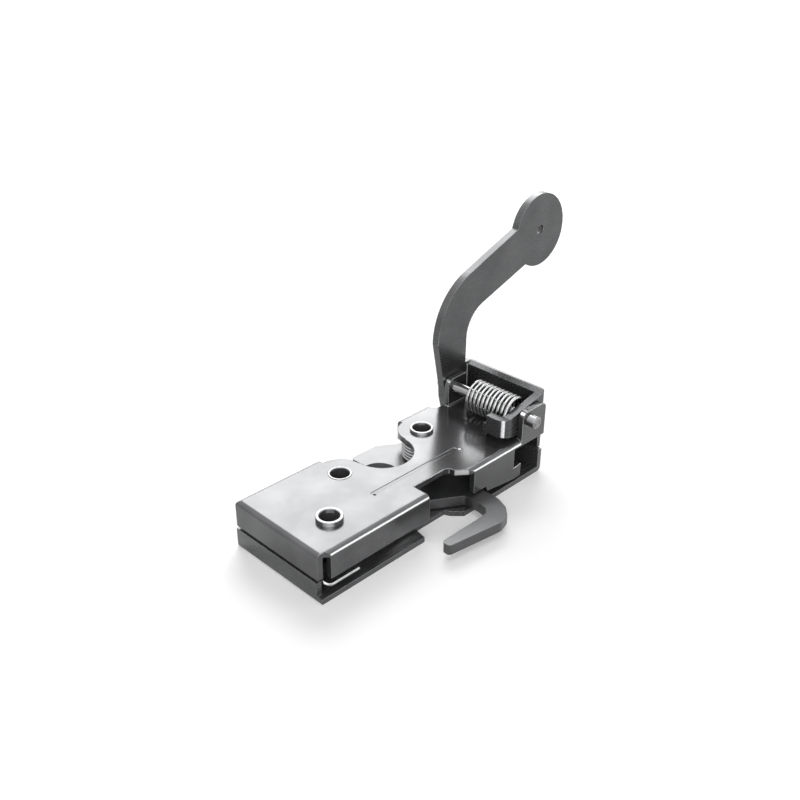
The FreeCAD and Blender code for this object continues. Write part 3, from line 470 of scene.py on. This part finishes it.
@dataclass
class Release(SubAssembly):
    """The release lever with its pin and spring."""

    title: str = "release"
    body: str = "housing"
    pin_end: Triple = (84.7 * MM, -17.0 * MM, 25.7 * MM)
    ring_radius: float = 1.15 * MM
    ring_wire: float = 0.13 * MM
    ring_rows: int = 10
    ring_steps: int = 40

    def finishes(self) -> dict[str, MetalFinish]:
        """Returns the finish of each node of the release."""
        return {
            "lever": LEVER_PLATING,
            "lever_pin": PIN_STEEL,
            "lever_spring": SPRING_WIRE,
        }

    def details(self) -> None:
        """Turns the raised ring on the pin's near end."""
        profile = []
        for row in range(self.ring_rows):
            angle = row * math.tau / self.ring_rows
            out = self.ring_radius + self.ring_wire * math.cos(angle)
            profile.append((out, self.ring_wire * math.sin(angle)))
        ring = turned_piece("pin_end_ring", profile, self.ring_steps, True)
        lay = Matrix.Rotation(math.pi / 2, 4, "X")
        self.fit(ring, Matrix.Translation(self.pin_end) @ lay, PIN_STEEL)


@dataclass(frozen=True)
class Lamp:
    """A soft area lamp: its panel in metres and its power in watts."""

    name: str
    place: Triple
    aim: Triple
    width: float
    depth: float
    power: float


MIDDLE = (0.05, 0.0, 0.02)
LAMPS = (
    Lamp("softbox_back", (0.85, 0.86, 0.92), MIDDLE, width=1.0, depth=1.0, power=18.5),
    Lamp("softbox_top", (-0.1, -0.1, 1.3), MIDDLE, width=0.6, depth=0.6, power=2.5),
    Lamp("softbox_front", (-0.85, -0.9, 0.68), MIDDLE, width=0.9, depth=0.9, power=7.0),
    Lamp("strip_right", (1.0, -1.15, 0.2), (0.05, 0.0, 0.01), width=1.4, depth=0.2, power=6.0),
)


@dataclass
class Studio:
    """Floor, lamps and camera."""

    lens_angle: float = 45.0
    azimuth: float = 44.725
    elevation: float = 28.680
    roll: float = 0.291
    eye: Triple = (-0.16299, -0.19273, 0.19886)
    sensor: float = 36.0
    clip: Band = (0.01, 20.0)
    floor_half: float = 3.0
    floor_tone: float = 0.86
    floor_rough: float = 0.9
    floor_drop: float = 0.05 * MM
    floor_lift: float = 0.2
    floor_fade: Band = (0.3, 1.2)
    room_fill: float = 0.3
    room_band: Band = (0.1, 0.4)
    room_rise: float = 0.7
    ceiling_band: Band = (0.7, 0.95)
    ceiling_rise: float = 1.6

    def camera(self) -> None:
        """Places the camera as the photograph's was."""
        turn = math.radians(self.azimuth)
        tilt = math.radians(self.elevation)
        lean = math.radians(self.roll)
        ahead = Vector((math.cos(turn) * math.cos(tilt), math.sin(turn) * math.cos(tilt), -math.sin(tilt)))
        level = Vector((math.sin(turn), -math.cos(turn), 0.0))
        upright = level.cross(ahead)
        right = level * math.cos(lean) + upright * math.sin(lean)
        up = upright * math.cos(lean) - level * math.sin(lean)
        lens = bpy.data.cameras.new("camera")
        lens.sensor_width = self.sensor
        lens.lens = lens.sensor_width / 2 / math.tan(math.radians(self.lens_angle) / 2)
        lens.clip_start, lens.clip_end = self.clip
        camera = bpy.data.objects.new("camera", lens)
        pose = Matrix((right, up, -ahead)).transposed().to_4x4()
        pose.translation = Vector(self.eye)
        camera.matrix_world = pose
        bpy.context.scene.collection.objects.link(camera)
        bpy.context.scene.camera = camera

    def floor(self) -> None:
        """Lays a pale floor under the latch."""
        half = self.floor_half
        mesh = bpy.data.meshes.new("floor")
        corners = [(-half, -half, 0.0), (half, -half, 0.0), (half, half, 0.0), (-half, half, 0.0)]
        mesh.from_pydata(corners, [], [(0, 1, 2, 3)])
        ground = bpy.data.objects.new("floor", mesh)
        ground.location.z = -self.floor_drop
        bpy.context.scene.collection.objects.link(ground)
        paint = bpy.data.materials.new("floor_paint")
        paint.use_nodes = True
        nodes = Nodes(paint.node_tree)
        tone = self.floor_tone
        shader = nodes.add("BsdfPrincipled", None, Base_Color=(tone, tone, tone, 1.0),
                           Roughness=self.floor_rough)
        place = nodes.add("TexCoord").outputs["Object"]
        away = nodes.add("VectorMath", {"operation": "LENGTH"}, Vector=place)
        fade = nodes.remap(away.outputs["Value"], self.floor_fade, self.floor_lift, 1.0)
        lift = nodes.join("MULTIPLY", self.seen_ray(nodes), fade)
        glow = nodes.add("Emission", None, Color=WHITE, Strength=lift)
        both = nodes.add("AddShader")
        nodes.tree.links.new(shader.outputs[0], both.inputs[0])
        nodes.tree.links.new(glow.outputs[0], both.inputs[1])
        output = nodes.add("OutputMaterial")
        nodes.tree.links.new(both.outputs[0], output.inputs[0])
        mesh.materials.append(paint)

    def hang(self, lamp: Lamp) -> None:
        """Hangs one soft area lamp.

        Args:
            lamp: The lamp with its place, panel and power.
        """
        light = bpy.data.lights.new(lamp.name, "AREA")
        light.shape = "RECTANGLE"
        light.size = lamp.width
        light.size_y = lamp.depth
        light.energy = lamp.power
        panel = bpy.data.objects.new(lamp.name, light)
        panel.location = Vector(lamp.place)
        direction = Vector(lamp.aim) - Vector(lamp.place)
        panel.rotation_euler = direction.to_track_quat("-Z", "Y").to_euler()
        bpy.context.scene.collection.objects.link(panel)

    def seen_ray(self, nodes: Nodes) -> Socket:
        """Tells rays that look at the background from rays that gather light.

        Args:
            nodes: The nodes of the floor's paint or of the world.

        Returns:
            One for camera, glossy and transmission rays, zero for the rest.
        """
        path = nodes.add("LightPath")
        seen = nodes.join("MAXIMUM", path.outputs["Is Camera Ray"], path.outputs["Is Glossy Ray"])
        return nodes.join("MAXIMUM", seen, path.outputs["Is Transmission Ray"])

    def world(self) -> None:
        """Fills the room with plain white light; metal mirrors a brighter wall top and ceiling."""
        sky = bpy.data.worlds.new("room")
        sky.use_nodes = True
        nodes = Nodes(sky.node_tree)
        direction = nodes.add("TexCoord").outputs["Generated"]
        height = nodes.add("SeparateXYZ", None, Vector=direction).outputs["Z"]
        glossy = nodes.add("LightPath").outputs["Is Glossy Ray"]
        low = nodes.remap(height, self.room_band, 0.0, self.room_rise)
        high = nodes.remap(height, self.ceiling_band, 0.0, self.ceiling_rise)
        rise = nodes.join("MULTIPLY", nodes.join("ADD", low, high), glossy)
        shown = nodes.join("MULTIPLY", self.seen_ray(nodes), 1.0 - self.room_fill)
        strength = nodes.join("ADD", nodes.join("ADD", shown, self.room_fill), rise)
        light = nodes.add("Background", None, Color=WHITE, Strength=strength)
        output = nodes.add("OutputWorld")
        nodes.tree.links.new(light.outputs[0], output.inputs[0])
        bpy.context.scene.world = sky

    def build(self) -> None:
        """Sets up floor, light and camera."""
        self.floor()
        self.world()
        for lamp in LAMPS:
            self.hang(lamp)
        self.camera()


def main() -> None:
    """Dresses the latch and sets up the studio."""
    logging.basicConfig(level=logging.INFO, format="%(message)s")
    bpy.context.scene.view_settings.view_transform = "Standard"
    for group in (Housing(), Mechanism(), Release()):
        group.build()
    Studio().build()


if __name__ == "__main__":
    main()
